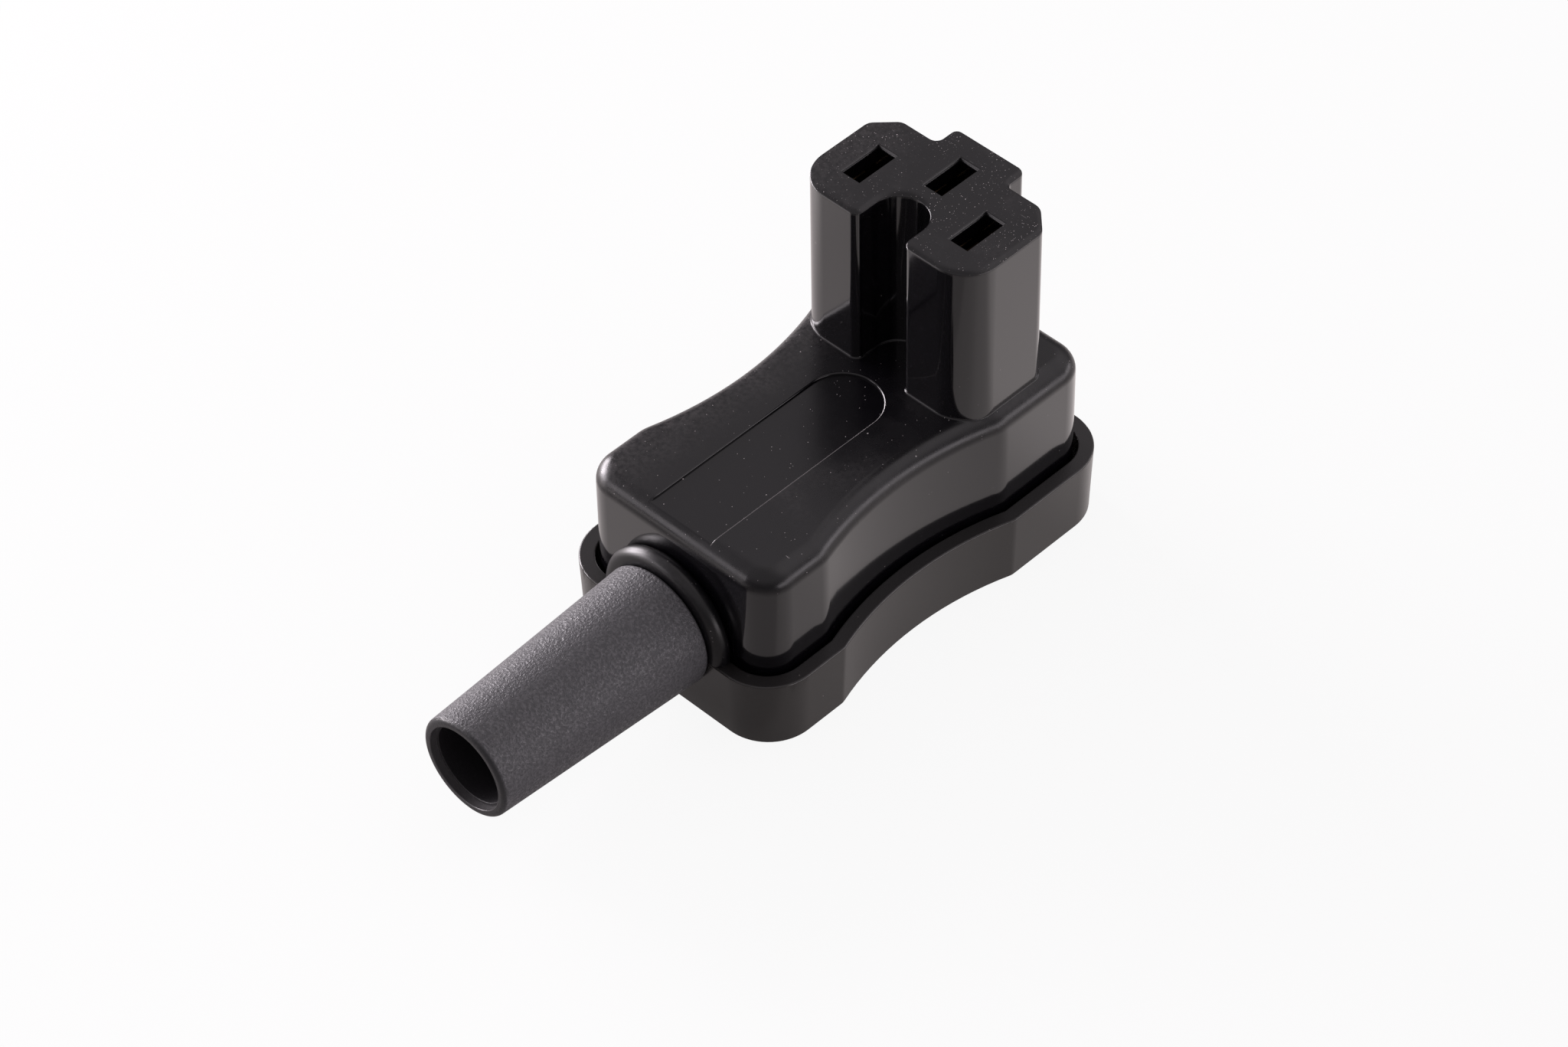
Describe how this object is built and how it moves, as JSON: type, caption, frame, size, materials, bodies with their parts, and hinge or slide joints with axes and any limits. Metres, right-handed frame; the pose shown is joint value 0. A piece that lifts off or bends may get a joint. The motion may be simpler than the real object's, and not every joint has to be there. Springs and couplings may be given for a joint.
{
  "type": "right-angle appliance connector",
  "caption": "Rewirable right-angle appliance connector with a grooved, stepped mating nose, a waisted two-part case and a tapered bend relief sleeve for the cable.",
  "frame": {"origin": "on the tray's underside, below the middle of the line and neutral slots", "axes": "+Z is the mating direction, the cable leaves along -Y, and +X runs from the live slot to the neutral slot"},
  "size_m": [0.0296, 0.075, 0.0397],
  "materials": {
    "housing_plastic": "black moulded plastic, glossy sides, finely grained satin top and mating face",
    "tray_plastic": "black moulded plastic, satin",
    "sleeve_rubber": "dark grey rubber, matte with fine grain",
    "clamp_plastic": "black moulded plastic, matte",
    "terminal_brass": "turned and milled brass",
    "contact_bronze": "rolled bronze strip",
    "screw_steel": "zinc-plated steel"
  },
  "bodies": {
    "root": {"upper_housing": "housing_plastic", "base_tray": "tray_plastic", "bend_relief_sleeve": "sleeve_rubber", "cord_clamp": "clamp_plastic", "live_terminal": "terminal_brass", "neutral_terminal": "terminal_brass", "earth_terminal": "terminal_brass", "live_contact": "contact_bronze", "neutral_contact": "contact_bronze", "earth_contact": "contact_bronze", "terminal_screws": "screw_steel", "cord_clamp_screws": "screw_steel", "cover_screw": "screw_steel", "cover_screw_insert": "terminal_brass"}
  },
  "joints": []
}
